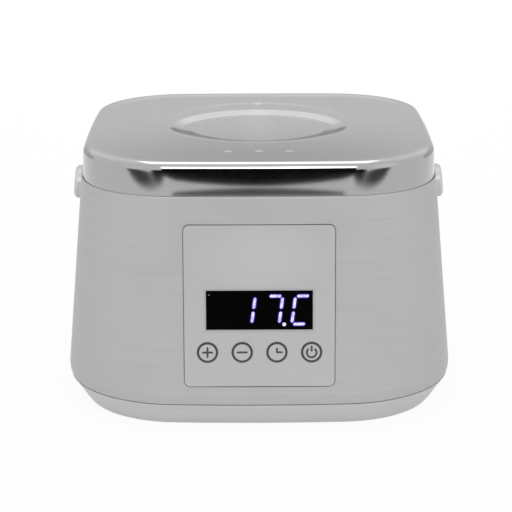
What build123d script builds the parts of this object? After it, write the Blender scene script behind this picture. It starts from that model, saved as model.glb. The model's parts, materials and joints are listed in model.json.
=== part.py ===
from build123d import *
import os
from math import asin, atan, cos, degrees, radians, sin, sqrt, tan

# Wax warmer: a square heated body, a removable round pot and a stamped steel lid
# Millimetres, +Z up, front toward -Y, origin on the ground under the middle of the body

# Body outline: half-widths, corner radii and heights of the moulded housing
rim_half = 88.4
rim_z = 114.0
waist_half = 97.0
waist_z = 19.0
waist_corner = 57.0
side_radius = 800.0
hem_z = 16.0
hem_inset = 0.2
seam_z = 13.6
seam_inset = 0.7
seam_gap = 0.4
base_z = 1.0
base_run = 6.6
base_edge_z = 3.4
base_edge_run = 1.9
wall = 2.4
floor = 2.4
rim_edge = 0.4

# Deck under the lid
deck_z = 108.0
deck = 2.4
lid_fit = 0.5
lid_rim_wall = 1.7

# Lid: stamped sheet with a shallow dish, an almond grip and four pressed dimples
lid_top_z = 130.0
lid_belly_share = 0.447
lid_corner = 46.0
lid_side_radius = 1300.0
lid_flare = 0.3
lid_draw = 0.5
lid_seat = 0.3
lid_edge_radius = 4.2
lid_sheet = 0.9
dish_depth = 1.4
dish_reach = 80.0
grip_tip = 45.0
grip_depth = 38.0
grip_height = 2.0
grip_wall_run = 1.0
grip_rim = 2.6
grip_rim_run = 3.4
grip_hollow = 1.8
dimple_radius = 2.7
dimple_depth = 0.45
dimple_row = 59.5
dimple_pitch = 14.8

# Pot, collar and heating well
pot_top_radius = 60.0
pot_draw = 2.5
pot_wall = 1.2
pot_low_z = 31.5
pot_corner = 8.0
pot_flange_z = 110.1
pot_lip = 1.0
pot_seat = 0.3
collar_gap = 2.45
collar_wall = 2.0
collar_lap = 6.0
flange_lap = 2.5
well_gap = 1.2
well_wall = 1.5
well_corner = 6.0
well_flange_lap = 4.5
well_flange_z = 98.4
well_ear_reach = 6.0
well_ear_radius = 5.0
boss_radius = 4.0
pilot_radius = 1.25

# Heaters, insulation and sensors
contact = 0.05
band_thickness = 1.9
band_low_z = 42.0
band_high_z = 74.0
band_gap = 8.0
band_ear = 7.0
band_ear_sheet = 1.4
sleeve_gap = 0.7
sleeve_thickness = 5.0
sleeve_low_z = 33.0
sleeve_high_z = 97.0
sleeve_slot = 26.0
plate_radius = 48.0
plate_thickness = 4.0
sensor_radius = 2.5
sensor_length = 9.0
fuse_radius = 2.0
fuse_length = 12.0
sensor_offset = 14.0
clip_sheet = 0.8
clip_width = 6.0
clip_foot = 7.0

# Control panel, window, keys and display board, measured along the sloping front
panel_width = 71.4
panel_height = 78.0
panel_z = 62.0
panel_corner = 2.8
panel_thickness = 2.0
panel_recess = 0.2
panel_gap = 0.4
panel_ledge = 4.0
frame_depth = 5.2
frame_margin = 5.0
frame_skin = 1.5
window_width = 50.3
window_height = 18.7
window_drop = 1.8
window_thickness = 1.6
window_fit = 0.15
module_height = 19.05
module_depth = 8.0
module_gap = 0.3
key_inset = 10.95
key_drop = 22.3
key_radius = 4.85
key_gap = 0.25
key_proud = 0.15
key_flange = 1.1
key_flange_thickness = 0.7
key_travel = 0.4
switch_side = 6.0
switch_body = 3.5
switch_stem_radius = 1.7
board_thickness = 1.6
board_edge = 0.8
post_radius = 2.4
post_inset = 2.6

# Power board and its parts
power_board_width = 92.0
power_board_depth = 58.0
power_board_z = 9.0
power_board_back = 6.0
power_post_inset = 5.0
power_part_offset = 30.0
relay_size = (19.0, 15.5, 10.2)
capacitor_radius = 5.5
capacitor_height = 9.5
terminal_size = (20.0, 8.0, 9.0)

# Mains inlet in the rear wall
inlet_z = 36.0
inlet_flange = (27.0, 15.0)
inlet_flange_thickness = 1.5
inlet_body = (20.4, 10.6)
inlet_fit = 0.2
inlet_depth = 16.0
inlet_socket = (14.6, 7.8)
inlet_socket_depth = 12.5
inlet_pin_radius = 1.2
inlet_pin_pitch = 8.6
inlet_pin_length = 9.5

# Side lugs, feet and screws
lug_z = 100.4
lug_radius = 8.5
lug_height = 5.0
lug_edge = 1.2
lug_spigot_radius = 3.2
lug_fit = 0.15
foot_inset = 46.0
foot_radius = 9.0
foot_pocket = 1.4
foot_fit = 0.3
base_screw_inset = 30.3
base_boss_radius = 5.5
base_boss_high_z = 42.0
rib_thickness = 2.0
screw_radius = 1.2
screw_head_radius = 2.8
screw_head_height = 1.8
screw_fit = 0.5
vent_width = 2.4
vent_length = 26.0
vent_offset = 66.0
vent_pitch = 6.0
vent_count = 6

# Values worked out from the driving dimensions
draft = degrees(atan((waist_half - rim_half) / (rim_z - waist_z)))
seam_half = waist_half - hem_inset - seam_inset
seam_corner = waist_corner - hem_inset - seam_inset
foot_pitch = seam_half - foot_inset
base_screw_pitch = seam_half - base_screw_inset
lid_low_z = deck_z + lid_seat
lid_belly_z = lid_low_z + lid_belly_share * (lid_top_z - lid_low_z)
lid_belly_half = rim_half - lid_rim_wall + lid_flare
pot_low_radius = pot_top_radius - pot_draw
pot_lip_z = pot_flange_z + pot_wall + pot_lip
opening_radius = pot_top_radius + collar_gap + collar_wall + contact
pot_flange_radius = opening_radius + flange_lap
collar_radius = opening_radius + collar_lap
well_radius = pot_top_radius + well_gap
well_outer = well_radius + well_wall
well_flange_radius = opening_radius + well_flange_lap
well_ear_centre = well_flange_radius + well_ear_reach
well_low_z = pot_low_z - pot_seat - well_wall
band_radius = well_outer + contact + band_thickness
sleeve_radius = band_radius + sleeve_gap
plate_z = well_low_z - contact - plate_thickness
deck_low_z = deck_z - deck
panel_back = panel_recess + panel_thickness
board_depth = panel_recess + panel_thickness + module_gap + module_depth
switch_depth = board_depth - switch_body
key_back = panel_recess + panel_thickness + key_gap + key_flange_thickness
stem_depth = key_back + key_travel + contact
power_board_top = power_board_z + board_thickness
rib_low_z = seam_z + wall + 2 * seam_gap
quarter_turns = (0, 90, 180, 270)
key_names = ("plus", "minus", "timer", "power")
key_pitch = (panel_width - 2 * key_inset) / (len(key_names) - 1)


def body_half(height):
    """Half-width of the straight part of the housing at a height."""
    return rim_half + (rim_z - height) * tan(radians(draft))


def body_corner(height):
    """Corner radius of the housing at a height."""
    return waist_corner - waist_half + body_half(height)


def bow(half, corner, side):
    """Half the angle in degrees that a bowed side of the outline spans."""
    return 45 + degrees(asin((half - side) / (sqrt(2) * (side - corner))))


def body_diagonal(height):
    """Distance from the middle to the housing's corner at a height."""
    corner = body_corner(height)
    swing = bow(body_half(height), corner, side_radius)
    return sqrt(2) * (side_radius - corner) * sin(radians(swing)) + corner


def cushion(half, corner, side):
    """Square outline with bowed sides of radius side and round corners."""
    swing = bow(half, corner, side)
    reach = (side - corner) * sin(radians(swing))
    with BuildSketch(mode=Mode.PRIVATE) as outline:
        with BuildLine():
            for turn in quarter_turns:
                side_centre = Vector(half - side, 0).rotate(Axis.Z, turn)
                corner_centre = Vector(reach, reach).rotate(Axis.Z, turn)
                CenterArc(side_centre, side, turn - swing, 2 * swing)
                CenterArc(corner_centre, corner, turn + swing, 90 - 2 * swing)
        make_face()
    return outline.sketch


def body_outline(height, inset=0.0):
    """Outline of the housing at a height, moved inward by inset."""
    return cushion(body_half(height) - inset, body_corner(height) - inset, side_radius - inset)


def almond(tip, depth):
    """Lens outline with sharp tips on X and round sides toward -Y and +Y."""
    with BuildSketch(mode=Mode.PRIVATE) as outline:
        with BuildLine():
            ThreePointArc((-tip, 0), (0, -depth), (tip, 0))
            ThreePointArc((tip, 0), (0, depth), (-tip, 0))
        make_face()
    return outline.sketch


def slope(run, rise):
    """Taper in degrees of a wall that moves inward by run over a rise."""
    return degrees(atan(run / rise))


def lid_form(inset):
    """Solid under the lid's outer skin, or under that skin moved inward by inset."""
    half = lid_belly_half - inset
    top = lid_top_z - inset
    dish_radius = (dish_reach ** 2 + dish_depth ** 2) / (2 * dish_depth)
    pad_top = lid_top_z - dish_depth + grip_height - inset
    pad_low = lid_top_z - dish_depth - lid_edge_radius
    hollow_low = pad_top - grip_hollow
    hollow_tip = grip_tip - grip_wall_run - grip_rim
    hollow_depth = grip_depth - grip_wall_run - grip_rim
    with BuildPart() as form:
        with BuildSketch(Plane.XY.offset(lid_belly_z)):
            add(cushion(half, lid_corner - inset, lid_side_radius))
        extrude(amount=lid_low_z - lid_belly_z, taper=slope(lid_flare, lid_belly_z - lid_low_z))
        with BuildSketch(Plane.XY.offset(lid_belly_z)):
            add(cushion(half, lid_corner - inset, lid_side_radius))
        extrude(amount=top - lid_belly_z, taper=slope(lid_draw, top - lid_belly_z))
        crown = form.faces().sort_by(Axis.Z)[-1].edges()
        if inset:
            chamfer(crown, lid_edge_radius / 2)
        else:
            fillet(crown, lid_edge_radius)
        with Locations((0, 0, lid_top_z - dish_depth + dish_radius)):
            Sphere(dish_radius + inset, mode=Mode.SUBTRACT)
        with BuildSketch(Plane.XY.offset(pad_low)):
            add(almond(grip_tip - inset, grip_depth - inset))
        with BuildSketch(Plane.XY.offset(pad_top)):
            add(almond(grip_tip - grip_wall_run - inset, grip_depth - grip_wall_run - inset))
        loft(ruled=True)
        with BuildSketch(Plane.XY.offset(pad_top)):
            add(almond(hollow_tip + inset, hollow_depth + inset))
        with BuildSketch(Plane.XY.offset(hollow_low)):
            add(almond(hollow_tip - grip_rim_run + inset, hollow_depth - grip_rim_run + inset))
        loft(ruled=True, mode=Mode.SUBTRACT)
    return form.part


def screw(plane, length):
    """Pan-head screw whose head rests on the plane and whose shank runs against its normal."""
    with BuildPart(plane) as fastener:
        Cylinder(screw_head_radius, screw_head_height, align=(Align.CENTER, Align.CENTER, Align.MIN))
        head_face = fastener.faces().sort_by(Axis(plane.origin, plane.z_dir))[-1]
        chamfer(head_face.edges(), screw_head_height / 3)
        Cylinder(screw_radius, length, align=(Align.CENTER, Align.CENTER, Align.MAX))
    return fastener.part


def save(piece, name):
    """Label a finished piece and write its STEP file."""
    piece.part.label = name
    export_step(piece.part, "parts/" + name + ".step")


os.makedirs("parts", exist_ok=True)

# Planes on the sloping walls, with their Z axes pointing outward
front = Plane((0, -body_half(panel_z), panel_z), (1, 0, 0), (0, -cos(radians(draft)), sin(radians(draft))))
rear = Plane((0, body_half(inlet_z), inlet_z), (-1, 0, 0), (0, cos(radians(draft)), sin(radians(draft))))
right = Plane((body_half(lug_z), 0, lug_z), (0, 1, 0), (cos(radians(draft)), 0, sin(radians(draft))))
left = Plane((-body_half(lug_z), 0, lug_z), (0, -1, 0), (-cos(radians(draft)), 0, sin(radians(draft))))
rib_reach = body_diagonal(base_boss_high_z) - wall / 2
key_places = [((index - (len(key_names) - 1) / 2) * key_pitch, -key_drop) for index in range(len(key_names))]
board_width = panel_width + 2 * board_edge
board_height = panel_height + 2 * board_edge
board_posts = GridLocations(board_width - 2 * post_inset, board_height - 2 * post_inset, 2, 2)
corner_bosses = GridLocations(2 * base_screw_pitch, 2 * base_screw_pitch, 2, 2)
well_bosses = PolarLocations(well_ear_centre, 4, 45)
power_posts = [(side * (power_board_width / 2 - power_post_inset),
                power_board_back + end * (power_board_depth / 2 - power_post_inset))
               for side in (-1, 1) for end in (-1, 1)]

# Housing: drafted moulded shell with the deck, the panel frame and the screw bosses
with BuildPart() as housing_shell:
    with BuildSketch(Plane.XY.offset(waist_z)):
        add(cushion(waist_half, waist_corner, side_radius))
    extrude(amount=rim_z - waist_z, taper=draft)
    chamfer(housing_shell.faces().sort_by(Axis.Z)[-1].edges(), rim_edge)
    with BuildSketch(Plane.XY.offset(waist_z)):
        add(cushion(waist_half, waist_corner, side_radius))
    extrude(amount=hem_z - waist_z, taper=slope(hem_inset, waist_z - hem_z))
    with BuildSketch(Plane.XY.offset(hem_z)):
        add(cushion(waist_half - hem_inset, waist_corner - hem_inset, side_radius - hem_inset))
    extrude(amount=seam_z - hem_z, taper=slope(seam_inset, hem_z - seam_z))
    # recess that takes the skirt of the lid
    with BuildSketch(Plane.XY.offset(deck_z)):
        add(cushion(rim_half - lid_rim_wall + lid_fit, lid_corner - lid_flare + lid_fit, lid_side_radius))
    extrude(amount=rim_z - deck_z, mode=Mode.SUBTRACT)
    # cavity below the deck
    with BuildSketch(Plane.XY.offset(seam_z)):
        add(cushion(seam_half - wall, seam_corner - wall, side_radius))
    extrude(amount=waist_z - seam_z, mode=Mode.SUBTRACT)
    with BuildSketch(Plane.XY.offset(waist_z)):
        add(cushion(seam_half - wall, seam_corner - wall, side_radius))
    extrude(amount=deck_low_z - waist_z, taper=draft, mode=Mode.SUBTRACT)
    # frame behind the control panel
    with BuildSketch(front.offset(-frame_depth)):
        Rectangle(panel_width + 2 * frame_margin, panel_height + 2 * frame_margin)
    extrude(amount=frame_depth - frame_skin)
    # bosses that carry the heating well
    with BuildSketch(Plane.XY.offset(well_flange_z + well_wall)):
        with well_bosses:
            Circle(boss_radius)
    extrude(amount=deck_low_z - well_flange_z - well_wall)
    # corner bosses with ribs for the base screws
    with BuildSketch(Plane.XY.offset(seam_z)):
        with corner_bosses:
            Circle(base_boss_radius)
    extrude(amount=base_boss_high_z - seam_z)
    with BuildSketch(Plane.XY.offset(rib_low_z)):
        with PolarLocations((rib_reach + sqrt(2) * base_screw_pitch) / 2, 4, 45):
            Rectangle(rib_reach - sqrt(2) * base_screw_pitch, rib_thickness)
    extrude(amount=base_boss_high_z - rib_low_z)
    # openings for the pot, the panel, the inlet and the lugs
    with BuildSketch(Plane.XY.offset(deck_low_z)):
        Circle(opening_radius)
    extrude(amount=deck, mode=Mode.SUBTRACT)
    with BuildSketch(front.offset(frame_depth)):
        RectangleRounded(panel_width + 2 * panel_gap, panel_height + 2 * panel_gap, panel_corner + panel_gap)
    extrude(amount=-(frame_depth + panel_back), mode=Mode.SUBTRACT)
    with BuildSketch(front):
        Rectangle(panel_width - 2 * panel_ledge, panel_height - 2 * panel_ledge)
    extrude(amount=-2 * frame_depth, mode=Mode.SUBTRACT)
    with BuildSketch(front.offset(-board_depth)):
        with board_posts:
            Circle(post_radius)
    extrude(amount=board_depth - panel_back - panel_thickness)
    with BuildSketch(front.offset(-board_depth)):
        with board_posts:
            Circle(pilot_radius)
    extrude(amount=board_depth - panel_back - panel_thickness, mode=Mode.SUBTRACT)
    with BuildSketch(rear.offset(wall)):
        RectangleRounded(inlet_body[0] + 2 * inlet_fit, inlet_body[1] + 2 * inlet_fit, 2 * inlet_fit)
    extrude(amount=-3 * wall, mode=Mode.SUBTRACT)
    for side_plane in (left, right):
        with BuildSketch(side_plane.offset(wall)):
            Circle(lug_spigot_radius + lug_fit)
        extrude(amount=-3 * wall, mode=Mode.SUBTRACT)
    with BuildSketch(Plane.XY.offset(seam_z)):
        with corner_bosses:
            Circle(pilot_radius)
    extrude(amount=base_boss_high_z - seam_z - wall, mode=Mode.SUBTRACT)
    with BuildSketch(Plane.XY.offset(well_flange_z + well_wall)):
        with well_bosses:
            Circle(pilot_radius)
    extrude(amount=deck_low_z - well_flange_z - well_wall, mode=Mode.SUBTRACT)
save(housing_shell, "housing_shell")

# Base tray: floor with feet pockets, screw wells, vents and the tongue under the seam
with BuildPart() as base_tray:
    tray_top = seam_z - seam_gap
    with BuildSketch(Plane.XY.offset(tray_top)):
        add(cushion(seam_half, seam_corner, side_radius))
    extrude(amount=base_edge_z - tray_top, taper=slope(base_run, tray_top - base_edge_z))
    with BuildSketch(Plane.XY.offset(base_edge_z)):
        add(cushion(seam_half - base_run, seam_corner - base_run, side_radius - base_run))
    extrude(amount=base_z - base_edge_z, taper=slope(base_edge_run, base_edge_z - base_z))
    with BuildSketch(Plane.XY.offset(tray_top)):
        add(cushion(seam_half - 2 * wall, seam_corner - 2 * wall, side_radius))
    extrude(amount=base_z + floor - tray_top, taper=slope(base_run, tray_top - base_edge_z),
            mode=Mode.SUBTRACT)
    # tongue that reaches up inside the housing
    with BuildSketch(Plane.XY.offset(seam_z - seam_gap)):
        add(cushion(seam_half - wall - seam_gap, seam_corner - wall - seam_gap, side_radius))
        add(cushion(seam_half - 2 * wall, seam_corner - 2 * wall, side_radius),
            mode=Mode.SUBTRACT)
    extrude(amount=seam_gap + wall)
    with BuildSketch(Plane.XY.offset(base_z + floor)):
        with corner_bosses:
            Circle(base_boss_radius)
    extrude(amount=seam_z - seam_gap - base_z - floor)
    with BuildSketch(Plane.XY.offset(base_z + floor)):
        with Locations(power_posts):
            Circle(boss_radius)
    extrude(amount=power_board_z - base_z - floor)
    with BuildSketch(Plane.XY.offset(base_z)):
        with corner_bosses:
            Circle(screw_head_radius + screw_fit)
    extrude(amount=screw_head_height + floor, mode=Mode.SUBTRACT)
    with BuildSketch(Plane.XY.offset(base_z)):
        with corner_bosses:
            Circle(screw_radius + screw_fit)
    extrude(amount=seam_z, mode=Mode.SUBTRACT)
    with BuildSketch(Plane.XY.offset(base_z)):
        with GridLocations(2 * foot_pitch, 2 * foot_pitch, 2, 2):
            Circle(foot_radius + foot_fit)
    extrude(amount=foot_pocket, mode=Mode.SUBTRACT)
    with BuildSketch(Plane.XY.offset(base_z)):
        with GridLocations(2 * vent_offset, vent_pitch, 2, vent_count):
            SlotOverall(vent_length, vent_width)
    extrude(amount=floor, mode=Mode.SUBTRACT)
    with BuildSketch(Plane.XY.offset(base_z + floor)):
        with Locations(power_posts):
            Circle(pilot_radius)
    extrude(amount=power_board_z - base_z - floor, mode=Mode.SUBTRACT)
save(base_tray, "base_tray")

# Lid: the outer form less the same form moved inward by the sheet
with BuildPart() as lid:
    add(lid_form(0.0))
    add(lid_form(lid_sheet), mode=Mode.SUBTRACT)
    dimple_ball = (dimple_radius ** 2 + dimple_depth ** 2) / (2 * dimple_depth)
    dimple_z = lid_top_z - dish_depth / 2 + dimple_ball - dimple_depth
    front_dimples = [(column * dimple_pitch, -dimple_row, dimple_z) for column in (-1, 0, 1)]
    with Locations(front_dimples + [(0, dimple_row, dimple_z)]):
        Sphere(dimple_ball, mode=Mode.SUBTRACT)
save(lid, "lid")

# Wax pot: spun aluminium cup with a beaded flange
with BuildPart() as wax_pot:
    with BuildSketch(Plane.XZ):
        with BuildLine():
            Polyline((0, pot_low_z), (pot_low_radius - pot_corner, pot_low_z),
                     (pot_low_radius - pot_corner / 4, pot_low_z + pot_corner / 4),
                     (pot_low_radius, pot_low_z + pot_corner), (pot_top_radius, pot_flange_z),
                     (pot_flange_radius, pot_flange_z), (pot_flange_radius, pot_lip_z),
                     (pot_flange_radius - pot_wall, pot_lip_z),
                     (pot_flange_radius - pot_wall, pot_flange_z + pot_wall),
                     (pot_top_radius - pot_wall, pot_flange_z + pot_wall),
                     (pot_low_radius - pot_wall, pot_low_z + pot_corner),
                     (pot_low_radius - pot_corner / 4 - pot_wall,
                      pot_low_z + pot_corner / 4 + pot_wall / 2),
                     (pot_low_radius - pot_corner, pot_low_z + pot_wall),
                     (0, pot_low_z + pot_wall), close=True)
        make_face()
    revolve(axis=Axis.Z)
save(wax_pot, "wax_pot")

# Collar: heat-resistant ring that lines the opening and carries the pot's flange
with BuildPart() as pot_collar:
    collar_inner = opening_radius - contact - collar_wall
    collar_top = pot_flange_z - pot_seat
    with BuildSketch(Plane.XY.offset(deck_z)):
        Circle(collar_radius)
        Circle(collar_inner, mode=Mode.SUBTRACT)
    extrude(amount=collar_top - deck_z)
    with BuildSketch(Plane.XY.offset(well_flange_z + well_wall)):
        Circle(opening_radius - contact)
        Circle(collar_inner, mode=Mode.SUBTRACT)
    extrude(amount=deck_z - well_flange_z - well_wall)
save(pot_collar, "pot_collar")

# Heating well: drawn aluminium cup hung under the deck by four ears
with BuildPart() as heating_well:
    with BuildSketch(Plane.XZ):
        with BuildLine():
            Polyline((0, well_low_z), (well_outer - well_corner, well_low_z),
                     (well_outer, well_low_z + well_corner), (well_outer, well_flange_z),
                     (well_flange_radius, well_flange_z),
                     (well_flange_radius, well_flange_z + well_wall),
                     (well_radius, well_flange_z + well_wall),
                     (well_radius, well_low_z + well_corner + well_wall / 2),
                     (well_radius - well_corner + well_wall / 2, well_low_z + well_wall),
                     (0, well_low_z + well_wall), close=True)
        make_face()
    revolve(axis=Axis.Z)
    with BuildSketch(Plane.XY.offset(well_flange_z)):
        for turn in quarter_turns:
            with Locations(Location((0, 0), turn + 45)):
                with Locations(((well_outer + well_ear_centre) / 2, 0)):
                    Rectangle(well_ear_centre - well_outer, 2 * well_ear_radius)
        with well_bosses:
            Circle(well_ear_radius)
            Circle(screw_radius + contact, mode=Mode.SUBTRACT)
    extrude(amount=well_wall)
save(heating_well, "heating_well")

# Heater band clamped round the well, with its two ears at the back
with BuildPart() as heater_band:
    band_ear_reach = band_radius + band_ear
    with BuildSketch(Plane.XY.offset(band_low_z)):
        Circle(band_radius)
        with Locations((0, band_ear_reach / 2 + band_radius / 2 - band_thickness / 2)):
            Rectangle(band_gap + 2 * band_ear_sheet, band_ear + band_thickness)
        with Locations((0, band_ear_reach)):
            Rectangle(band_gap, 4 * band_ear, mode=Mode.SUBTRACT)
        Circle(well_outer + contact, mode=Mode.SUBTRACT)
    extrude(amount=band_high_z - band_low_z)
    ear_axis = Plane((0, band_radius + band_ear / 2, (band_low_z + band_high_z) / 2), z_dir=(1, 0, 0))
    with BuildSketch(ear_axis):
        Circle(screw_radius + contact)
    extrude(amount=band_gap, both=True, mode=Mode.SUBTRACT)
save(heater_band, "heater_band")

with BuildPart() as heater_band_screw:
    add(screw(ear_axis.offset(band_gap / 2 + band_ear_sheet), band_gap + 3 * band_ear_sheet))
save(heater_band_screw, "heater_band_screw")

# Heater plate under the well
with BuildPart() as heater_plate:
    with BuildSketch(Plane.XY.offset(plate_z)):
        Circle(plate_radius)
    extrude(amount=plate_thickness)
    chamfer(heater_plate.faces().sort_by(Axis.Z)[0].edges(), plate_thickness / 4)
save(heater_plate, "heater_plate")

# Insulation sleeve round the band, open at the back where the ears stand out
with BuildPart() as insulation_sleeve:
    with BuildSketch(Plane.XY.offset(sleeve_low_z)):
        Circle(sleeve_radius + sleeve_thickness)
        Circle(sleeve_radius, mode=Mode.SUBTRACT)
        with Locations((0, sleeve_radius)):
            Rectangle(sleeve_slot, 4 * sleeve_thickness, mode=Mode.SUBTRACT)
    extrude(amount=sleeve_high_z - sleeve_low_z)
save(insulation_sleeve, "insulation_sleeve")

# Sensor and thermal fuse held against the plate by two sheet clips
with BuildPart() as temperature_sensor:
    sensor_z = plate_z - contact - sensor_radius
    with Locations(Location((-sensor_offset, 0, sensor_z), (0, 90, 0))):
        Cylinder(sensor_radius, sensor_length)
save(temperature_sensor, "temperature_sensor")

with BuildPart() as thermal_fuse:
    fuse_z = plate_z - contact - fuse_radius
    with Locations(Location((sensor_offset, 0, fuse_z), (0, 90, 0))):
        Cylinder(fuse_radius, fuse_length)
save(thermal_fuse, "thermal_fuse")

with BuildPart() as sensor_clips:
    for clip_x, held_radius in ((-sensor_offset, sensor_radius), (sensor_offset, fuse_radius)):
        hat_half = held_radius + contact
        hat_low = plate_z - 2 * hat_half
        with BuildSketch(Plane.YZ.offset(clip_x - clip_width / 2)):
            with BuildLine():
                Polyline((-hat_half - clip_foot, plate_z - clip_sheet),
                         (-hat_half - clip_sheet, plate_z - clip_sheet),
                         (-hat_half - clip_sheet, hat_low - clip_sheet),
                         (hat_half + clip_sheet, hat_low - clip_sheet),
                         (hat_half + clip_sheet, plate_z - clip_sheet),
                         (hat_half + clip_foot, plate_z - clip_sheet), (hat_half + clip_foot, plate_z),
                         (hat_half, plate_z), (hat_half, hat_low), (-hat_half, hat_low),
                         (-hat_half, plate_z), (-hat_half - clip_foot, plate_z), close=True)
            make_face()
        extrude(amount=clip_width)
save(sensor_clips, "sensor_clips")

with BuildPart() as well_screws:
    for turn in quarter_turns:
        ear = Vector(well_ear_centre, 0, well_flange_z).rotate(Axis.Z, turn + 45)
        add(screw(Plane(ear, z_dir=(0, 0, -1)), well_wall + boss_radius))
save(well_screws, "well_screws")

# Control panel: flat plate in the recess, with the window hole and four key holes
with BuildPart() as control_panel:
    with BuildSketch(front.offset(-panel_back)):
        RectangleRounded(panel_width, panel_height, panel_corner)
        with Locations((0, -window_drop)):
            Rectangle(window_width + 2 * window_fit, window_height + 2 * window_fit, mode=Mode.SUBTRACT)
        with Locations(key_places):
            Circle(key_radius + key_gap, mode=Mode.SUBTRACT)
    extrude(amount=panel_thickness)
save(control_panel, "control_panel")

with BuildPart() as display_window:
    with BuildSketch(front.offset(-panel_recess - window_thickness)):
        with Locations((0, -window_drop)):
            Rectangle(window_width, window_height)
    extrude(amount=window_thickness)
save(display_window, "display_window")

with BuildPart() as display_module:
    with BuildSketch(front.offset(-board_depth)):
        with Locations((0, -window_drop)):
            Rectangle(window_width, module_height)
    extrude(amount=module_depth)
save(display_module, "display_module")

# Keys: round caps with a retaining flange behind the panel
for key_name, key_place in zip(key_names, key_places):
    with BuildPart() as key:
        with BuildSketch(front.offset(-key_back)):
            with Locations(key_place):
                Circle(key_radius + key_flange)
        extrude(amount=key_flange_thickness)
        with BuildSketch(front.offset(-key_back)):
            with Locations(key_place):
                Circle(key_radius)
        extrude(amount=key_back - panel_recess + key_proud)
        chamfer(key.faces().sort_by(Axis(front.origin, front.z_dir))[-1].edges(), key_proud)
    save(key, "button_" + key_name)

with BuildPart() as tact_switches:
    with BuildSketch(front.offset(-board_depth)):
        with Locations(key_places):
            Rectangle(switch_side, switch_side)
    extrude(amount=switch_body)
    with BuildSketch(front.offset(-switch_depth)):
        with Locations(key_places):
            Circle(switch_stem_radius)
    extrude(amount=switch_depth - stem_depth)
save(tact_switches, "tact_switches")

with BuildPart() as display_board:
    with BuildSketch(front.offset(-board_depth - board_thickness)):
        Rectangle(board_width, board_height)
        with board_posts:
            Circle(screw_radius + contact, mode=Mode.SUBTRACT)
    extrude(amount=board_thickness)
save(display_board, "display_board")

with BuildPart() as display_board_screws:
    board_back = front.offset(-board_depth - board_thickness)
    for post in board_posts:
        head_place = board_back.from_local_coords(post.position)
        add(screw(Plane(head_place, x_dir=(1, 0, 0), z_dir=-front.z_dir), board_thickness + post_radius))
save(display_board_screws, "display_board_screws")

# Power board on its posts with the relay, the capacitor and the terminal block
with BuildPart() as power_board:
    with BuildSketch(Plane.XY.offset(power_board_z)):
        with Locations((0, power_board_back)):
            Rectangle(power_board_width, power_board_depth)
        with Locations(power_posts):
            Circle(screw_radius + contact, mode=Mode.SUBTRACT)
    extrude(amount=board_thickness)
save(power_board, "power_board")

with BuildPart() as power_board_screws:
    for post in power_posts:
        add(screw(Plane((*post, power_board_top)), board_thickness + boss_radius))
save(power_board_screws, "power_board_screws")

with BuildPart() as relay:
    with Locations((-power_part_offset, power_board_back, power_board_top)):
        Box(*relay_size, align=(Align.CENTER, Align.CENTER, Align.MIN))
    chamfer(relay.edges().filter_by(Axis.Z), board_edge)
save(relay, "relay")

with BuildPart() as power_capacitor:
    with Locations((power_part_offset, power_board_back, power_board_top)):
        Cylinder(capacitor_radius, capacitor_height, align=(Align.CENTER, Align.CENTER, Align.MIN))
    chamfer(power_capacitor.faces().sort_by(Axis.Z)[-1].edges(), board_edge)
save(power_capacitor, "power_capacitor")

with BuildPart() as terminal_block:
    terminal_y = power_board_back + power_board_depth / 2 - terminal_size[1] / 2
    with Locations((0, terminal_y, power_board_top)):
        Box(*terminal_size, align=(Align.CENTER, Align.CENTER, Align.MIN))
save(terminal_block, "terminal_block")

# Mains inlet: flanged socket in the rear wall with its two pins
with BuildPart() as power_inlet:
    with BuildSketch(rear):
        RectangleRounded(*inlet_flange, 2 * inlet_flange_thickness)
    extrude(amount=inlet_flange_thickness)
    with BuildSketch(rear):
        Rectangle(*inlet_body)
    extrude(amount=-inlet_depth)
    with BuildSketch(rear.offset(inlet_flange_thickness)):
        SlotOverall(*inlet_socket)
    extrude(amount=-inlet_socket_depth, mode=Mode.SUBTRACT)
save(power_inlet, "power_inlet")

with BuildPart() as power_inlet_pins:
    with BuildSketch(rear.offset(inlet_flange_thickness - inlet_socket_depth)):
        with GridLocations(inlet_pin_pitch, 1, 2, 1):
            Circle(inlet_pin_radius)
    extrude(amount=inlet_pin_length)
save(power_inlet_pins, "power_inlet_pins")

# Side lugs: round bosses near the top of the left and right walls
for lug_name, side_plane in (("lug_left", left), ("lug_right", right)):
    with BuildPart() as lug:
        with BuildSketch(side_plane):
            Circle(lug_radius)
        extrude(amount=lug_height)
        chamfer(lug.faces().sort_by(Axis(side_plane.origin, side_plane.z_dir))[-1].edges(), lug_edge)
        with BuildSketch(side_plane):
            Circle(lug_spigot_radius)
        extrude(amount=-wall)
        with BuildSketch(side_plane.offset(-wall)):
            Circle(pilot_radius)
        extrude(amount=wall + lug_height / 2, mode=Mode.SUBTRACT)
    save(lug, lug_name)

with BuildPart() as lug_screws:
    for side_plane in (left, right):
        inside = side_plane.offset(-wall)
        inward = Plane(inside.origin, x_dir=side_plane.x_dir, z_dir=-side_plane.z_dir)
        add(screw(inward, lug_height / 2 + wall / 2))
save(lug_screws, "lug_screws")

# Rubber feet in their pockets
with BuildPart() as rubber_feet:
    with BuildSketch():
        with GridLocations(2 * foot_pitch, 2 * foot_pitch, 2, 2):
            Circle(foot_radius)
    extrude(amount=base_z + foot_pocket)
    chamfer(rubber_feet.faces().group_by(Axis.Z)[0].edges(), foot_fit)
save(rubber_feet, "rubber_feet")

with BuildPart() as base_screws:
    for corner in corner_bosses:
        head_place = corner.position + Vector(0, 0, base_z + floor + screw_head_height)
        add(screw(Plane(head_place, z_dir=(0, 0, -1)), seam_z + wall))
save(base_screws, "base_screws")
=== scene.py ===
import json
from math import asin, atan2, cos, pi, radians, sin, sqrt, tan

import bmesh
import bpy
from mathutils import Matrix, Vector


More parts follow.
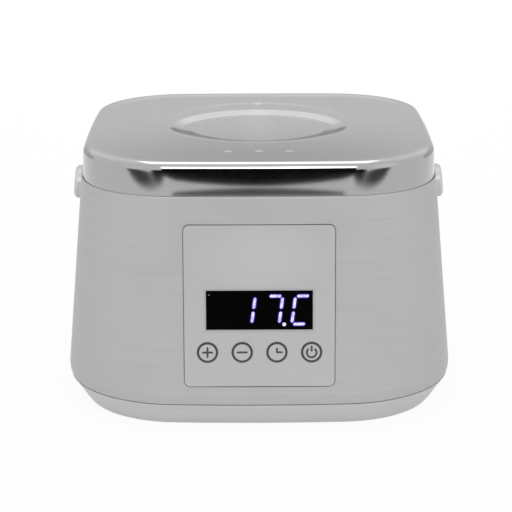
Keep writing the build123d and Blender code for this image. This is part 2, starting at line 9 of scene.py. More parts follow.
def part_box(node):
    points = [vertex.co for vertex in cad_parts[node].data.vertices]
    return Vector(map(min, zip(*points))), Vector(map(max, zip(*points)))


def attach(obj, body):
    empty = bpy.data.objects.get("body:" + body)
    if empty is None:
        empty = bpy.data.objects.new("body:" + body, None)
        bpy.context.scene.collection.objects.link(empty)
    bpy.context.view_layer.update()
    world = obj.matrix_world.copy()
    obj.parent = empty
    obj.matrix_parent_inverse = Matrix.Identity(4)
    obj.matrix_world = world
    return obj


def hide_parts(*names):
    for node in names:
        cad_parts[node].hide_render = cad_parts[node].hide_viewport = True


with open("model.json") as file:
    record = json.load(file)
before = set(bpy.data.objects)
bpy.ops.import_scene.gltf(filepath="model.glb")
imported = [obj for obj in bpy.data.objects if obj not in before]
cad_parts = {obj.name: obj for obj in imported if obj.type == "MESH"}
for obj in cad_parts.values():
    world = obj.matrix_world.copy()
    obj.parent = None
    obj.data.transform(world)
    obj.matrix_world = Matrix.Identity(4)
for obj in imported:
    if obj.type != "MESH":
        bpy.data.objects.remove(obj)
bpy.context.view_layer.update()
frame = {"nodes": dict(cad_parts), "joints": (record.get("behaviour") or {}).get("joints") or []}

# Camera solved from the photograph: 512 by 512 pixels, no shift
camera_place = (-0.00235, -0.87948, 0.31417)
camera_pitch = 73.88
camera_yaw = -0.06
camera_roll = -0.21
camera_lens = 122.77

# Front panel: sizes along the sloping face, in metres
plate_thickness = 0.002
key_drop = 0.0223
key_proud = 0.00015
window_drop = 0.0018
ring_outer = 0.00500
ring_line = 0.00105
icon_line = 0.00092
sign_half = 0.0022
dial_reach = 0.0023
print_skin = 0.00004
ring_steps = 72
ring_foot = -0.0002

# Lid, in metres and mesh steps: bowed square with a barrel-shaped skirt, a shallow dish and a pressed grip
lid_low_corner, lid_high_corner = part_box("lid")
lid_half = lid_high_corner[0]
lid_low = lid_low_corner[2]
lid_top = lid_high_corner[2]
lid_corner = 0.046
lid_side = 1.3
lid_belly_drop = 0.012
lid_barrel = 0.16
lid_crown = 0.0042
lid_border = 0.0105
lid_step = 0.0006
lid_bowl = 0.0008
lid_sheet = 0.0009
lid_shoulder = 0.0003
corner_steps = 34
edge_steps = 14
grip_tip = 0.0465
grip_front = 0.038
grip_rear = 0.0455
grip_fold = 0.063
grip_drop = 0.0020
grip_rear_wall = 0.0062
grip_front_wall = 0.0120
grip_bead = 0.00034
grip_bead_width = 0.0015
grip_wall_step = 0.012
grip_wall_steps = 24
grip_floor_steps = 20
dimple_radius = 0.0029
dimple_depth = 0.0007
dimples = [(0, 0.0595), (-0.0148, -0.0595), (0, -0.0595), (0.0148, -0.0595)]

# Tones of the silver parts and of the lid's steel, with the silver's gloss and the depth of its brushed
# lines. The tray and the lugs carry the body's silver painted lighter, as painted light, and steel_shade is
# the dark colour of the lid's painted shade
body_light, body_dark = (0.435, 0.435, 0.44), (0.395, 0.395, 0.40)
tray_light_painted_lighter, tray_dark_painted_lighter = (0.53, 0.53, 0.535), (0.48, 0.48, 0.485)
lug_light_painted_lighter, lug_dark_painted_lighter = (0.60, 0.60, 0.605), (0.55, 0.55, 0.555)
panel_light, panel_dark = (0.475, 0.475, 0.48), (0.415, 0.415, 0.42)
steel_light, steel_dark, steel_shade = (0.80, 0.80, 0.805), (0.50, 0.50, 0.505), (0.07, 0.07, 0.07)
silver_roughness = 0.42
silver_grain = 0.00003

# Seven-segment digits, in metres and degrees
digit_pitch = 0.0130
digit_half_width = 0.0035
digit_half_height = 0.0068
digit_slant = 7.5
digit_line = 0.00132
digit_gap = 0.00045
digit_halo = 0.00050
digit_skin = 0.00003
halo_skin = 0.000015
dot_skin = 0.00002


class Value:
    """A shader socket that takes part in Python arithmetic."""

    def __init__(self, finish, socket):
        self.finish = finish
        self.socket = socket

    def _maths(self, operation, *parts):
        return self.finish.node("Math", {"operation": operation}, dict(enumerate(parts)))

    def __add__(self, other):
        return self._maths("ADD", self, other)

    def __sub__(self, other):
        return self._maths("SUBTRACT", self, other)

    def __rsub__(self, other):
        return self._maths("SUBTRACT", other, self)

    def __mul__(self, other):
        return self._maths("MULTIPLY", self, other)

    def __truediv__(self, other):
        return self._maths("DIVIDE", self, other)

    def minimum(self, other):
        return self._maths("MINIMUM", self, other)

    def maximum(self, other):
        return self._maths("MAXIMUM", self, other)

    def root(self):
        return self._maths("SQRT", self)

    def absolute(self):
        return self._maths("ABSOLUTE", self)

    def step(self, low, high):
        """Smooth change from 0 at low to 1 at high."""
        return self.finish.node("MapRange", {"interpolation_type": "SMOOTHSTEP"},
                                {"Value": self, "From Min": low, "From Max": high})


class Finish:
    """A node tree that is built by short calls."""

    def __init__(self, tree):
        self.tree = tree
        tree.nodes.clear()

    def node(self, kind, settings=None, sockets=None, output=0):
        """Adds a node, makes its settings, then fills its sockets; gives back one output."""
        made = self.tree.nodes.new("ShaderNode" + kind)
        for name, value in (settings or {}).items():
            setattr(made, name, value)
        for name, value in (sockets or {}).items():
            socket = made.inputs[name]
            if isinstance(value, Value):
                self.tree.links.new(value.socket, socket)
            else:
                socket.default_value = value
        return Value(self, made.outputs[output]) if made.outputs else None

    def place(self):
        """Point on the surface, in the object's own metres."""
        return self.node("TexCoord", output="Object")

    def stretched(self, scale):
        return self.node("VectorMath", {"operation": "MULTIPLY"}, {0: self.place(), 1: scale})

    def axes(self, vector=None):
        """The three numbers of a vector, by default those of the point on the surface."""
        split = self.tree.nodes.new("ShaderNodeSeparateXYZ")
        self.tree.links.new((vector or self.place()).socket, split.inputs[0])
        return [Value(self, out) for out in split.outputs]

    def noise(self, scale, detail, vector=None):
        return self.node("TexNoise", None, {"Vector": vector or self.place(), "Scale": scale,
                                            "Detail": detail, "Roughness": 0.55})

    def shade(self, low, high, mask):
        """Colour between two colours, the first of which may itself change over the surface."""
        low = low if isinstance(low, Value) else (*low, 1)
        return self.node("Mix", {"data_type": "RGBA"}, {0: mask, 6: low, 7: (*high, 1)}, 2)

    def bump(self, height, depth, strength):
        return self.node("Bump", None, {"Height": height, "Distance": depth, "Strength": strength})


def finish_of(name):
    """New material with a Principled shader; gives back the finish and a function that fills the shader."""
    material = bpy.data.materials.new(name)
    material.use_nodes = True
    finish = Finish(material.node_tree)
    shader = material.node_tree.nodes.new("ShaderNodeBsdfPrincipled")
    output = material.node_tree.nodes.new("ShaderNodeOutputMaterial")
    material.node_tree.links.new(shader.outputs[0], output.inputs[0])

    def fill(**sockets):
        for key, value in sockets.items():
            socket = shader.inputs[key.replace("_", " ")]
            if isinstance(value, Value):
                material.node_tree.links.new(value.socket, socket)
            elif hasattr(socket.default_value, "__len__"):
                socket.default_value = (*value, 1)
            else:
                socket.default_value = value

    return material, finish, fill


def brushed_moulding(name, light, dark):
    """Silver moulding with very fine horizontal brushed lines."""
    material, finish, fill = finish_of(name)
    lines = finish.noise(1.0, 2.0, finish.stretched((26, 26, 2300)))
    broad = finish.noise(1.0, 2.0, finish.stretched((4, 4, 420)))
    cloud = finish.noise(22, 2.0)
    tone = lines * 0.6 + broad * 0.2 + cloud * 0.2
    fill(Base_Color=finish.shade(dark, light, tone.step(0.3, 0.7)), Metallic=0.25,
         Roughness=tone * 0.12 + (silver_roughness - 0.06), Specular_IOR_Level=0.5,
         Normal=finish.bump(lines, silver_grain, 0.5))
    return material


def satin_panel(name, middle_z, window_z, window_half):
    """Smoother silver of the front panel, with a painted highlight above the window and darker round its
    edge.
    """
    material, finish, fill = finish_of(name)
    x, _, z = finish.axes()
    # Painted highlight: a soft lighter patch above the window
    rise = z - middle_z - 0.024
    glow = (x * x * 900 + rise * rise * 2600).step(1.0, 0.0)
    across = x.absolute() - window_half[0]
    along = (z - window_z).absolute() - window_half[1]
    rim = across.maximum(along).step(0.0020, -0.0004) * 0.30
    grain = finish.noise(1.0, 2.0, finish.stretched((300, 300, 900)))
    cloud = finish.noise(30, 2.0)
    tone = grain * 0.35 + glow * 0.45 + cloud * 0.2
    plain = finish.shade(panel_dark, panel_light, tone)
    fill(Base_Color=finish.shade(plain, (0.10, 0.10, 0.10), rim), Metallic=0.2,
         Roughness=grain * 0.08 + 0.36, Normal=finish.bump(grain, 0.00002, 0.3))
    return material


def stamped_steel():
    """Steel sheet: satin on the top face, nearly a mirror on the turned-down edge."""
    material, finish, fill = finish_of("stamped_steel")
    x, y, _ = finish.axes()
    nx, ny, nz = finish.axes(finish.node("TexCoord", output="Normal"))
    radius = (x * x + y * y).root()
    top = nz.step(0.80, 0.985)
    streaks = finish.noise(1.0, 3.0, finish.stretched((140, 9, 9)))
    grain = finish.noise(2600, 2.0)
    cloud = finish.noise(26, 3.0)
    # Grip: painted shade where its front wall leans inward, a painted highlight on the rear wall and a
    # painted sheen along the middle
    in_grip = radius.step(grip_tip + 0.0007, grip_tip - 0.001)
    inward = (nx * x + ny * y) / radius * -1
    painted_grip_shade = in_grip * inward.step(0.005, 0.07) * y.step(0.002, -0.006)
    painted_grip_shade = painted_grip_shade * (0.95 - y.step(-0.014, -0.030) * 0.45)
    rear_wall = in_grip * inward.step(0.06, 0.26) * y.step(0.0, 0.012)
    sheen = in_grip * (x * x * -9000 + 1).maximum(0.0) * 0.35
    # Dimples: painted highlight on the wall that faces the front, painted shade on the other
    dimple_wall = (1 - in_grip) * radius.step(0.078, 0.072) * nz.step(0.995, 0.95)
    painted_dimple_highlight = dimple_wall * ny.step(-0.02, -0.22)
    painted_dimple_shade = dimple_wall * ny.step(0.02, 0.22)
    # Border and edge: painted shade toward the front of the top face and down the turned edge, standing for
    # darker reflections
    painted_front_shade = top * y.step(0.03, -0.085) * (1 - x * x * 90).maximum(0.0) * 0.50
    hem = nz.step(0.93, 0.50) * 0.29
    # The tone mixes the steel's own cloud, grain and streaks with the painted sheen and highlights; the mask
    # gathers the painted shade toward the dark steel colour
    tone = cloud * 0.16 + grain * 0.10 + streaks * 0.08 + sheen * 0.4 + rear_wall * 0.30 + painted_dimple_highlight * 0.22
    plain = finish.shade(steel_dark, steel_light, tone)
    mask = (painted_grip_shade + painted_front_shade * (1 - painted_dimple_highlight * 0.45) + hem + painted_dimple_shade * 0.6).minimum(1.0)
    fill(Base_Color=finish.shade(plain, steel_shade, mask), Metallic=1.0,
         Roughness=top * 0.15 + cloud * 0.03 + 0.075,
         Normal=finish.bump(grain * (top * 0.8 + 0.2) + streaks * in_grip * 0.3, 0.00002, 0.4))
    return material


def spun_aluminium(name, tone, roughness):
    """Turned sheet with fine rings round the upright axis."""
    material, finish, fill = finish_of(name)
    x, y, z = finish.axes()
    radius = (x * x + y * y).root()
    turned = finish.node("CombineXYZ", None, {0: radius * 1500, 1: z * 1500, 2: x * 6})
    rings = finish.noise(1.0, 3.0, turned)
    cloud = finish.noise(28, 3.0)
    light = tuple(min(1.0, part * 1.08) for part in tone)
    dark = tuple(part * 0.9 for part in tone)
    fill(Base_Color=finish.shade(dark, light, rings * 0.6 + cloud * 0.4), Metallic=1.0,
         Roughness=rings * 0.12 + cloud * 0.08 + (roughness - 0.1), Normal=finish.bump(rings, 0.00003, 0.5))
    return material


def moulded(name, tone, roughness, metallic=0.0, grain_scale=1400, depth=0.00003, spread=0.14):
    """Plain part with a fine grain, a slow change of tone and an uneven gloss."""
    material, finish, fill = finish_of(name)
    grain = finish.noise(grain_scale, 2.0)
    cloud = finish.noise(45, 3.0)
    light = tuple(min(1.0, part * (1 + spread)) for part in tone)
    dark = tuple(part * (1 - spread) for part in tone)
    fill(Base_Color=finish.shade(dark, light, grain * 0.4 + cloud * 0.6), Metallic=metallic,
         Roughness=grain * 0.1 + cloud * 0.1 + (roughness - 0.1), Normal=finish.bump(grain, depth, 0.5))
    return material


def tinted_window():
    """Almost black window with a faint sheen and a few fine scratches."""
    material, finish, fill = finish_of("tinted_window")
    scratches = finish.noise(1.0, 4.0, finish.stretched((90, 90, 1200)))
    fill(Base_Color=finish.shade((0.0005, 0.0005, 0.0007), (0.0015, 0.0015, 0.002), scratches),
         Roughness=scratches * 0.08 + 0.16, Specular_IOR_Level=0.02)
    return material


def lit(name, colour, edge, strength):
    """Lit segment of the display, with a slightly uneven brightness."""
    material, finish, fill = finish_of(name)
    flow = finish.noise(500, 2.0)
    fill(Base_Color=(0.01, 0.01, 0.02), Emission_Color=finish.shade(edge, colour, flow.step(0.3, 0.6)),
         Emission_Strength=strength, Roughness=0.4, Specular_IOR_Level=0.02)
    return material


def placed(name, data, material):
    """New object with one finish, put in the scene."""
    piece = bpy.data.objects.new(name, data)
    bpy.context.collection.objects.link(piece)
    data.materials.append(material)
    return piece


def shaped(name, mesh, material):
    """New object from a bmesh, with its faces turned outward."""
    bmesh.ops.recalc_face_normals(mesh, faces=mesh.faces)
    data = bpy.data.meshes.new(name)
    mesh.to_mesh(data)
    mesh.free()
    return placed(name, data, material)


def side_shares(fine_reach, fine_steps, coarse_steps):
    """Places along one side from -1 to 1, close together in the middle."""
    fine = [fine_reach * (-1 + 2 * step / fine_steps) for step in range(fine_steps)]
    coarse = [(1 - fine_reach) * step / coarse_steps for step in range(coarse_steps)]
    return [share - 1 for share in coarse] + fine + [share + fine_reach for share in coarse]


# Close columns cross the dimples on the front and rear sides and the grip's tips on the other two
plain_shares = side_shares(0.36, 36, 8)
dimple_shares = side_shares(0.66, 60, 5)


def sheet_line(inset, low):
    """Points round the lid's bowed square moved inward by inset, at a height, from the right-hand side on."""
    half, corner, side = lid_half - inset, lid_corner - inset, lid_side - inset
    swing = pi / 4 + asin((half - side) / (sqrt(2) * (side - corner)))
    reach = (side - corner) * sin(swing)
    line = []
    for quarter in range(4):
        turn = Matrix.Rotation(quarter * pi / 2, 3, "Z")
        for share in (dimple_shares if quarter % 2 else plain_shares):
            angle = swing * share
            line.append(turn @ Vector((half - side + side * cos(angle), side * sin(angle), low)))
        for step in range(corner_steps):
            angle = swing + (pi / 2 - 2 * swing) * step / corner_steps
            line.append(turn @ Vector((reach + corner * cos(angle), reach + corner * sin(angle), low)))
    return line


def smooth(value, low, high):
    """Smooth change from 0 at low to 1 at high."""
    share = min(1.0, max(0.0, (value - low) / (high - low)))
    return share * share * (3 - 2 * share)


def arc_centre(depth):
    """Radius of an arc through both tips of the grip, and how far its centre lies past their line."""
    radius = (grip_tip ** 2 + depth ** 2) / (2 * depth)
    return radius, radius - depth


def arc_inside(x, y, depth):
    """Distance inside an arc through both tips that bulges toward +Y."""
    radius, shift = arc_centre(depth)
    return radius - sqrt(x * x + (y + shift) ** 2)


def almond_reach(angle):
    """Distance from the middle to the edge of the grip in one direction."""
    radius, shift = arc_centre(grip_rear if sin(angle) > 0 else grip_front)
    return sqrt(radius ** 2 - (shift * cos(angle)) ** 2) - shift * abs(sin(angle))


def grip_height(x, y):
    """Height of the pressed grip: a hollow with a short wall behind and a long rounded one in front."""
    behind, ahead = arc_inside(x, y, grip_rear), arc_inside(x, -y, grip_front)
    return -grip_drop * smooth(behind, 0.0, grip_rear_wall) * smooth(ahead, -0.0008, grip_front_wall)


def grip_surround(x, y):
    """Soft fold behind the grip and the fine bead along its front edge."""
    if y > 0:
        return -lid_shoulder * smooth(arc_inside(x, y, grip_fold), 0.0, 0.005)
    if abs(x) >= grip_tip:
        return 0.0
    outside = -arc_inside(x, -y, grip_front) / grip_bead_width
    return grip_bead * smooth(outside, 1.6, 0.2) * smooth(grip_tip - abs(x), 0.0, 0.012)


def dimple_height(x, y):
    """Depth of the small pressed dimples."""
    depth = 0.0
    for centre_x, centre_y in dimples:
        away = sqrt((x - centre_x) ** 2 + (y - centre_y) ** 2)
        depth -= dimple_depth * (1 - smooth(away, 0.25 * dimple_radius, dimple_radius))
    return depth


def skin(mesh, rings, middle):
    """Closes a run of rings with faces, from the first ring to a point in the middle."""
    made = [[mesh.verts.new(point) for point in ring] for ring in rings]
    count = len(made[0])
    for lower, upper in zip(made, made[1:]):
        for index in range(count):
            after = (index + 1) % count
            mesh.faces.new((lower[index], lower[after], upper[after], upper[index]))
    tip = mesh.verts.new(middle)
    for index in range(count):
        mesh.faces.new((made[-1][index], made[-1][(index + 1) % count], tip))
    return made[0]


def lid_rings(sheet, dish_steps):
    """Rings of the lid's skin, moved inward by sheet, from the hem over the crown to the grip."""
    rings = []
    belly_z = lid_top - lid_belly_drop
    crown_z = lid_top - lid_crown
    for step in range(edge_steps + 1):
        low = lid_low + (crown_z - lid_low) * step / edge_steps
        bow = (low - belly_z) ** 2 / (2 * lid_barrel)
        rings.append(sheet_line(bow + sheet, low))
    tilt = (crown_z - belly_z) / lid_barrel
    inset = (crown_z - belly_z) ** 2 / (2 * lid_barrel)
    radius = lid_crown / (1 - sin(tilt))
    for step in range(1, edge_steps + 1):
        angle = tilt + (pi / 2 - tilt) * step / edge_steps
        place = inset + radius * (cos(tilt) - cos(angle)) + sheet * cos(angle)
        low = lid_top - radius + radius * sin(angle) - sheet * sin(angle)
        rings.append(sheet_line(place, low))
    border = inset + radius * cos(tilt)
    for step in range(1, edge_steps + 1):
        place = border + (lid_border - border) * step / edge_steps
        drop = lid_step * smooth(place, border + 0.001, lid_border)
        rings.append(sheet_line(place, lid_top - drop - sheet))
    edge = rings[-1]
    grip_edge = []
    for point in edge:
        reach = almond_reach(atan2(point.y, point.x))
        grip_edge.append(Vector((point.x, point.y, 0)).normalized() * reach)
    for step in range(1, dish_steps + 1):
        share = step / dish_steps
        ring = []
        for outer, inner in zip(edge, grip_edge):
            x, y = outer.x + (inner.x - outer.x) * share, outer.y + (inner.y - outer.y) * share
            ring.append(Vector((x, y, lid_top - lid_step - lid_bowl * smooth(share, -0.4, 1.4) - sheet
                                + dimple_height(x, y) + grip_surround(x, y))))
        rings.append(ring)
    floor = lid_top - lid_step - lid_bowl * smooth(1.0, -0.4, 1.4) - sheet
    edge_heights = [grip_surround(point.x * 1.0001, point.y * 1.0001) for point in grip_edge]
    wall_shares = [1 - grip_wall_step * step for step in range(1, grip_wall_steps + 1)]
    floor_shares = [wall_shares[-1] * (1 - step / grip_floor_steps) for step in range(1, grip_floor_steps)]
    for share in wall_shares + floor_shares:
        ring = []
        for point, rest in zip(grip_edge, edge_heights):
            x, y = point.x * share, point.y * share
            ring.append(Vector((x, y, floor + rest * smooth(share, 0.6, 1.0) + grip_height(x, y))))
        rings.append(ring)
    return rings, Vector((0, 0, floor + grip_height(0, 0)))


def pressed_lid(material):
    """Smooth sheet-steel lid that stands for the plain one."""
    mesh = bmesh.new()
    outer = skin(mesh, *lid_rings(0.0, 64))
    inner = skin(mesh, *lid_rings(lid_sheet, 8))
    for index in range(len(outer)):
        after = (index + 1) % len(outer)
        mesh.faces.new((outer[after], outer[index], inner[index], inner[after]))
    for face in mesh.faces:
        face.smooth = True
    for edge in mesh.edges:
        if all(abs(vert.co.z - lid_low) < 1e-6 for vert in edge.verts):
            edge.smooth = False
    piece = shaped("pressed_lid", mesh, material)
    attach(piece, "lid")
    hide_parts("lid")


def dress(material, *nodes):
    """Gives CAD nodes one finish."""
    for node in nodes:
        shown = frame["nodes"][node]
        shown.data.materials.clear()
        shown.data.materials.append(material)


# The face of the panel: its middle, its normal and its upward direction
press = next(joint for joint in frame["joints"] if joint["name"] == "press_plus")
normal = -Vector(press["axis"]).normalized()
upward = normal.cross(Vector((1, 0, 0))).normalized()
panel_low, panel_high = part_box("control_panel")
panel_middle = (Vector(panel_low) + Vector(panel_high)) / 2
panel_face = panel_middle + normal * plate_thickness / 2

window_low, window_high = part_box("display_window")
window_half = ((window_high[0] - window_low[0]) / 2, (window_high[2] - window_low[2]) / 2)
window_z = (window_low[2] + window_high[2]) / 2

dress(brushed_moulding("brushed_silver", body_light, body_dark), "housing_shell")
# Tray and lugs: the body's silver painted lighter, as painted light
dress(brushed_moulding("tray_silver_painted_lighter", tray_light_painted_lighter, tray_dark_painted_lighter), "base_tray")
dress(brushed_moulding("lug_silver_painted_lighter", lug_light_painted_lighter, lug_dark_painted_lighter), "lug_left", "lug_right")
dress(satin_panel("satin_panel", panel_middle.z, window_z, window_half), "control_panel", "button_plus",
      "button_minus", "button_timer", "button_power")
pressed_lid(stamped_steel())
dress(spun_aluminium("spun_pot", (0.72, 0.72, 0.72), 0.3), "wax_pot")
dress(spun_aluminium("drawn_well", (0.6, 0.6, 0.6), 0.42), "heating_well", "heater_plate")
dress(moulded("heater_steel", (0.42, 0.42, 0.43), 0.4, 1.0), "heater_band", "sensor_clips")
dress(moulded("plated_screw", (0.6, 0.59, 0.56), 0.32, 1.0), "heater_band_screw", "well_screws", "lug_screws",
      "display_board_screws", "power_board_screws", "base_screws")
dress(moulded("pressed_wool", (0.7, 0.67, 0.58), 0.95, 0.0, 500, 0.0004), "insulation_sleeve")
dress(moulded("black_collar", (0.022, 0.022, 0.023), 0.5), "pot_collar")
dress(moulded("black_part", (0.02, 0.02, 0.021), 0.45), "display_module", "tact_switches", "power_inlet")
dress(moulded("green_board", (0.015, 0.13, 0.045), 0.35), "display_board", "power_board")
dress(moulded("blue_relay", (0.02, 0.09, 0.34), 0.4), "relay")
dress(moulded("grey_terminal", (0.3, 0.3, 0.31), 0.5), "terminal_block")
dress(moulded("drawn_can", (0.62, 0.62, 0.62), 0.35, 1.0), "thermal_fuse", "power_capacitor")
dress(moulded("glazed_sensor", (0.78, 0.76, 0.7), 0.3), "temperature_sensor")
dress(moulded("plated_pin", (0.75, 0.6, 0.32), 0.3, 1.0), "power_inlet_pins")
dress(moulded("foot_rubber", (0.018, 0.018, 0.018), 0.8, 0.0, 900, 0.0001), "rubber_feet")
dress(tinted_window(), "display_window")
ink = moulded("grey_ink", (0.040, 0.040, 0.040), 0.6, spread=0.06)
segment_light = lit("segment_light", (0.86, 0.82, 1.0), (0.50, 0.44, 1.0), 1.05)
segment_halo = lit("segment_halo", (0.02, 0.006, 0.30), (0.008, 0.002, 0.13), 1.0)


def on_face(u, v, height):
    """Point u to the right and v up the panel from its middle, at a height over its face."""
    return panel_face + Vector((u, 0, 0)) + upward * v + normal * height


def on_panel(name, mesh, material, body):
    """Piece made from a bmesh that rides on a body of the panel."""
    piece = shaped(name, mesh, material)
    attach(piece, body)


def slab(name, outlines, height, material, body):
    """Flat piece on the panel made of closed outlines, each raised from the face to a height."""
    mesh = bmesh.new()
    for outline in outlines:
        lower = [mesh.verts.new(on_face(u, v, 0.0)) for u, v in outline]
        upper = [mesh.verts.new(on_face(u, v, height)) for u, v in outline]
        mesh.faces.new(upper)
        mesh.faces.new(lower[::-1])
        for index in range(len(outline)):
            after = (index + 1) % len(outline)
            mesh.faces.new((lower[index], lower[after], upper[after], upper[index]))
    on_panel(name, mesh, material, body)


def bar(start, end, width):
    """Outline of a line with round ends."""
    start, end = Vector(start), Vector(end)
    along = (end - start).normalized()
    turn = Vector((-along.y, along.x))
    outline = []
    for centre, sign in ((end, 1), (start, -1)):
        for step in range(9):
            angle = pi / 2 - pi * step / 8
            outline.append(centre + sign * (along * cos(angle) + turn * sin(angle)) * width / 2)
    return [tuple(point) for point in outline]


def arc_bar(centre, radius, width, first, last, steps=40):
    """Outline of a line bent round a centre, from one angle to another, in degrees."""
    outline = []
    for side, order in ((radius + width / 2, 1), (radius - width / 2, -1)):
        angles = [radians(first + (last - first) * step / steps) for step in range(steps + 1)][::order]
        outline += [(centre[0] + side * cos(angle), centre[1] + side * sin(angle)) for angle in angles]
    return outline


def ring(name, centre, top, material, body, slot):
    """Closed round band on the panel, up to a height."""
    mesh = bmesh.new()
    ring_inner = ring_outer - ring_line
    profile = [(ring_outer, ring_foot), (ring_outer, top), (ring_inner, top), (ring_inner, ring_foot)]
    loops = []
    for radius, height in profile:
        loop = []
        for step in range(ring_steps):
            angle = 2 * pi * step / ring_steps
            point = on_face(centre[0] + radius * cos(angle), centre[1] + radius * sin(angle), height)
            loop.append(mesh.verts.new(point))
        loops.append(loop)
    for index in range(4):
        here, there = loops[index], loops[(index + 1) % 4]
        for step in range(ring_steps):
            after = (step + 1) % ring_steps
            mesh.faces.new((here[step], here[after], there[after], there[step]))
    on_panel(name, mesh, material, body)


# Printed signs on the keys
key_top = key_proud + print_skin
for key in ("plus", "minus", "timer", "power"):
    body = "button_" + key
    key_low, key_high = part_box(body)
    u = (key_low[0] + key_high[0]) / 2
    v = -key_drop
    ring(key + "_ring", (u, v), key_top, ink, body, "key_silver")
    if key == "plus":
        strokes = [bar((u - sign_half, v), (u + sign_half, v), icon_line)]
        uprights = [bar((u, v - sign_half), (u, v + sign_half), icon_line)]
        slab("plus_upright", uprights, key_top + print_skin, ink, body)
    elif key == "minus":
        strokes = [bar((u - sign_half, v), (u + sign_half, v), icon_line)]
    elif key == "timer":
        strokes = [bar((u, v), (u + dial_reach, v), icon_line)]
        hands = [bar((u, v), (u, v + 0.0018), icon_line)]
        slab("timer_hand", hands, key_top + print_skin, ink, body)
    else:
        strokes = [arc_bar((u, v - 0.0002), dial_reach, icon_line, 128, 412),
                   bar((u, v + 0.0007), (u, v + 0.0028), icon_line)]
    slab(key + "_sign", strokes, key_top, ink, body)

# Lit digits on the window's face: segment letters follow the usual order
lit_segments = {1: "bc", 2: "abc", 3: "adef"}


def segment_ends(letter):
    """Ends of a segment's middle line in an upright digit."""
    w, h, g = digit_half_width, digit_half_height, digit_gap + digit_line / 2
    return {"a": ((-w + g, h), (w - g, h)), "b": ((w, g), (w, h - g)), "c": ((w, -h + g), (w, -g)),
            "d": ((-w + g, -h), (w - g, -h)), "e": ((-w, -h + g), (-w, -g)),
            "f": ((-w, g), (-w, h - g))}[letter]


def segment(letter, centre, grow):
    """Six-sided outline of a segment, slanted with its digit."""
    (x0, y0), (x1, y1) = segment_ends(letter)
    half = digit_line / 2 + grow
    tip = digit_line / 2 * 0.62 + grow
    if y0 == y1:
        outline = [(x0 - tip, y0), (x0, y0 + half), (x1, y0 + half),
                   (x1 + tip, y0), (x1, y0 - half), (x0, y0 - half)]
    else:
        outline = [(x0, y0 - tip), (x0 + half, y0), (x0 + half, y1),
                   (x0, y1 + tip), (x0 - half, y1), (x0 - half, y0)]
    lean = tan(radians(digit_slant))
    return [(centre[0] + x + y * lean, centre[1] + y) for x, y in outline]


for place, letters in lit_segments.items():
    centre = ((place - 1.5) * digit_pitch + 0.0002, -window_drop)
    for letter in letters:
        name = "digit_%d_%s" % (place, letter)
        line = [segment(letter, centre, 0.0)]
        halo = [segment(letter, centre, digit_halo)]
        slab(name, line, digit_skin, segment_light, "base_unit")
        slab(name + "_halo", halo, halo_skin, segment_halo, "base_unit")
point = [arc_bar((0.0117, -window_drop - digit_half_height - 0.0001), 0.00045, 0.0009, 0, 360, 32)]
slab("digit_point", point, digit_skin, segment_light, "base_unit")
dot = [arc_bar((-0.0239, 0.0074 - window_drop), 0.00018, 0.00036, 0, 360, 16)]
grey_dot = moulded("grey_dot", (0.12, 0.12, 0.12), 0.5)
slab("window_dot", dot, dot_skin, grey_dot, "base_unit")

# Studio: pale floor, dark and grey cards for the steel to mirror, soft lamps and a white surround
white = (1, 1, 1, 1)
floor_half = 6.0
floor_pale = (0.86, 0.86, 0.86, 1)
floor_glow = 0.92
screen_half = 1.8
screen_y = 0.9
screen_high = 0.7
screen_glow = 0.66


def stage_plane(name, corners, material):
    """Flat piece of the studio with the given corners."""
    data = bpy.data.meshes.new(name)
    data.from_pydata(corners, [], [tuple(range(len(corners)))])
    piece = placed(name, data, material)
    return piece


def mirrored_plane(name, corners, material):
    """Flat piece of the studio that only glossy surfaces see."""
    card = stage_plane(name, corners, material)
    for ray in ("camera", "diffuse", "transmission", "shadow", "volume_scatter"):
        setattr(card, "visible_" + ray, False)


def mixed_material(name, shaders):
    """Material that mixes two shaders; shaders(finish) gives the share of the second and both of them."""
    material = bpy.data.materials.new(name)
    material.use_nodes = True
    finish = Finish(material.node_tree)
    share, first, second = shaders(finish)
    mixed = finish.node("MixShader", None, {0: share, 1: first, 2: second})
    finish.node("OutputMaterial", None, {0: mixed})
    return material


def seen_directly(finish):
    """1 where a ray comes straight from the camera, from metal or through glass, 0 where it only lights."""
    camera_ray = finish.node("LightPath", output="Is Camera Ray")
    glossy_ray = finish.node("LightPath", output="Is Glossy Ray")
    transmission_ray = finish.node("LightPath", output="Is Transmission Ray")
    return (camera_ray + glossy_ray + transmission_ray).minimum(1.0)


def floor_shaders(finish):
    """Mostly glowing white where it is seen, which leaves a faint shadow, and pale where it only lights."""
    pale = finish.node("BsdfDiffuse", None, {"Color": floor_pale})
    glow = finish.node("Emission", None, {"Color": white, "Strength": 1.0})
    return seen_directly(finish) * floor_glow, pale, glow


def square(half):
    """Corners of a square round the middle, as pairs."""
    return [(-half, -half), (half, -half), (half, half), (-half, half)]


stage_plane("floor", [(x, y, 0) for x, y in square(floor_half)], mixed_material("pale_floor", floor_shaders))


def mirror_card(name, corners, grey):
    """Flat card of one grey that only glossy surfaces see."""
    material, _, fill = finish_of(name + "_card")
    fill(Base_Color=(grey, grey, grey), Roughness=1.0, Specular_IOR_Level=0.0)
    mirrored_plane(name, corners, material)


# Dark card in front with a bowed lower edge, and a grey one below it
opening_half = 0.086
opening_y = -0.45
opening_low = 0.0324
opening_rise = 0.0203
opening_steps = 32
opening_side = [(0.088, 0.0535), (0.100, 0.056), (0.120, 0.058), (0.150, 0.060), (0.150, 0.26)]
outline = []
for step in range(opening_steps + 1):
    share = -1 + 2 * step / opening_steps
    outline.append((opening_half * share, opening_y, opening_low + opening_rise * share * share))
outline += [(across, opening_y, up) for across, up in opening_side]
outline += [(-across, opening_y, up) for across, up in opening_side[::-1]]
mirror_card("front_opening", outline, 0.004)

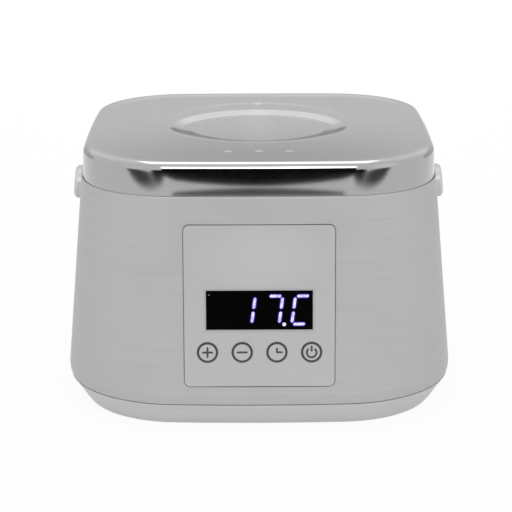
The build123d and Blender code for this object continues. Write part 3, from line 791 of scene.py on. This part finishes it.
edge_high = 0.0262
edge_fall = 0.0155
outline = []
for step in range(-8, 9):
    share = step / 8
    outline.append((opening_half * share, opening_y, edge_high - edge_fall * share ** 2))
outline += [(opening_half, opening_y, 0.0), (-opening_half, opening_y, 0.0)]
mirror_card("front_edge", outline, 0.12)


def soft_card(name, middle, half, grey):
    """Blurred patch that only glossy surfaces see, facing the object."""
    def shaders(finish):
        x, _, z = finish.axes()
        across = (x - middle[0]) / half[0]
        along = (z - middle[2]) / half[1]
        clear = finish.node("BsdfTransparent")
        dark = finish.node("BsdfDiffuse", None, {"Color": (grey, grey, grey, 1)})
        return (across * across + along * along).step(1.0, 0.10), clear, dark

    corners = [(middle[0] + across * half[0], middle[1], middle[2] + along * half[1])
               for across, along in square(1)]
    mirrored_plane(name, corners, mixed_material(name + "_patch", shaders))


for side, name in ((-1, "left"), (1, "right")):
    soft_card(name + "_stand", (side * 0.185, -0.45, 0.080), (0.085, 0.060), 0.02)
    soft_card(name + "_screen", (side * 0.42, -0.43, 0.044), (0.32, 0.052), 0.10)


def screen_shaders(finish):
    """Grey glow behind the object that fades upward into nothing."""
    _, _, z = finish.axes()
    clear = finish.node("BsdfTransparent")
    grey = finish.node("Emission", None, {"Color": white, "Strength": screen_glow})
    return z.step(0.66, 0.28), clear, grey


outline = [(-screen_half, screen_y, 0), (screen_half, screen_y, 0),
           (screen_half, screen_y, screen_high), (-screen_half, screen_y, screen_high)]
mirrored_plane("rear_screen", outline, mixed_material("rear_screen_grey", screen_shaders))

world = bpy.data.worlds.new("white_surround")
bpy.context.scene.world = world
world.use_nodes = True
surround = Finish(world.node_tree)
_, depth, height = surround.axes(surround.node("TexCoord", output="Generated"))
sky = height.step(-0.05, 0.60) * 0.45 + depth.step(-0.2, -1.0) * 0.44 + 0.22
seen = seen_directly(surround)
strength = seen + sky * (1 - seen)
background = surround.node("Background", None, {"Color": white, "Strength": strength})
surround.node("OutputWorld", None, {0: background})


def lamp(name, place, target, size, watts):
    """Soft rectangular lamp that faces a target."""
    data = bpy.data.lights.new(name, "AREA")
    data.shape = "RECTANGLE"
    data.size, data.size_y = size
    data.energy = watts
    made = bpy.data.objects.new(name, data)
    made.location = place
    made.rotation_euler = (Vector(target) - Vector(place)).to_track_quat("-Z", "Y").to_euler()
    bpy.context.collection.objects.link(made)
    return made


lamp("top_lamp", (0, 0.0, 1.5), (0, 0, 0.1), (1.2, 0.8), 4)
lamp("left_lamp", (-1.3, -1.0, 0.7), (0, 0, 0.08), (0.9, 0.9), 0.1)
lamp("right_lamp", (1.3, -1.0, 0.7), (0, 0, 0.08), (0.9, 0.9), 0.4)
lamp("rear_lamp", (0, 1.6, 0.8), (0, 0, 0.06), (1.0, 0.6), 7).visible_glossy = False
lamp("front_lamp", (0, -1.6, 0.95), (0, 0, 0.06), (1.0, 0.6), 11)

camera = bpy.data.objects.new("camera", bpy.data.cameras.new("camera"))
camera.data.lens = camera_lens
camera.data.sensor_width = 36
yaw = Matrix.Rotation(radians(camera_yaw), 4, "Z")
pitch = Matrix.Rotation(radians(camera_pitch), 4, "X")
roll = Matrix.Rotation(radians(camera_roll), 4, "Z")
camera.matrix_world = Matrix.Translation(camera_place) @ yaw @ pitch @ roll
bpy.context.collection.objects.link(camera)
bpy.context.scene.camera = camera
bpy.context.scene.view_settings.view_transform = "Standard"
